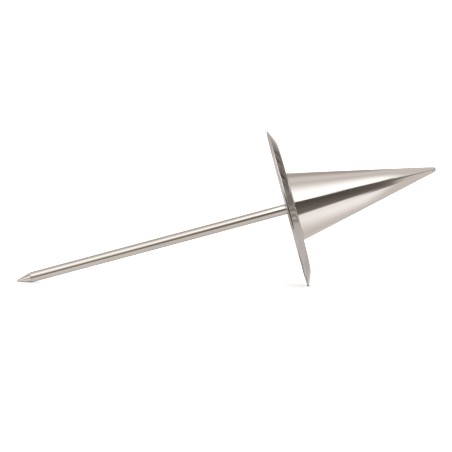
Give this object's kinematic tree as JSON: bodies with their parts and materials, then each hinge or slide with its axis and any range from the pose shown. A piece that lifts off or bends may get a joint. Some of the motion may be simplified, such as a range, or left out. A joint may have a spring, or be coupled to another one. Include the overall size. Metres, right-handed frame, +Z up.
{
  "type": "garden dibber",
  "caption": "Slim pointed spike and hollow pointed cone on one axis, back to back on a shallow round dish; polished stainless steel.",
  "frame": {"origin": "middle of the footprint, on the table that the tool lies on", "axes": "+Z up; +X is the way the cone points, seen from above. The tool's own axis lies in the XZ plane and rises 15.7 degrees towards the cone's tip, as the tool lies on the rim of its dish and the wide end of the spike's point"},
  "size_m": [0.2342, 0.09, 0.0867],
  "materials": {
    "bright_bar": "fine ground and polished stainless bar",
    "polished_dish": "polished stainless sheet",
    "polished_cone": "mirror polished stainless",
    "mill_plate": "plain mill finish",
    "fasteners": "plain stainless fasteners"
  },
  "bodies": {
    "root": {"spike_rod": "bright_bar", "spring_washer": "fasteners", "root_washer": "fasteners", "stop_dish": "polished_dish", "base_plate": "mill_plate", "weld_nut": "fasteners", "cone_shell": "polished_cone", "cone_nose": "polished_cone"}
  },
  "joints": []
}
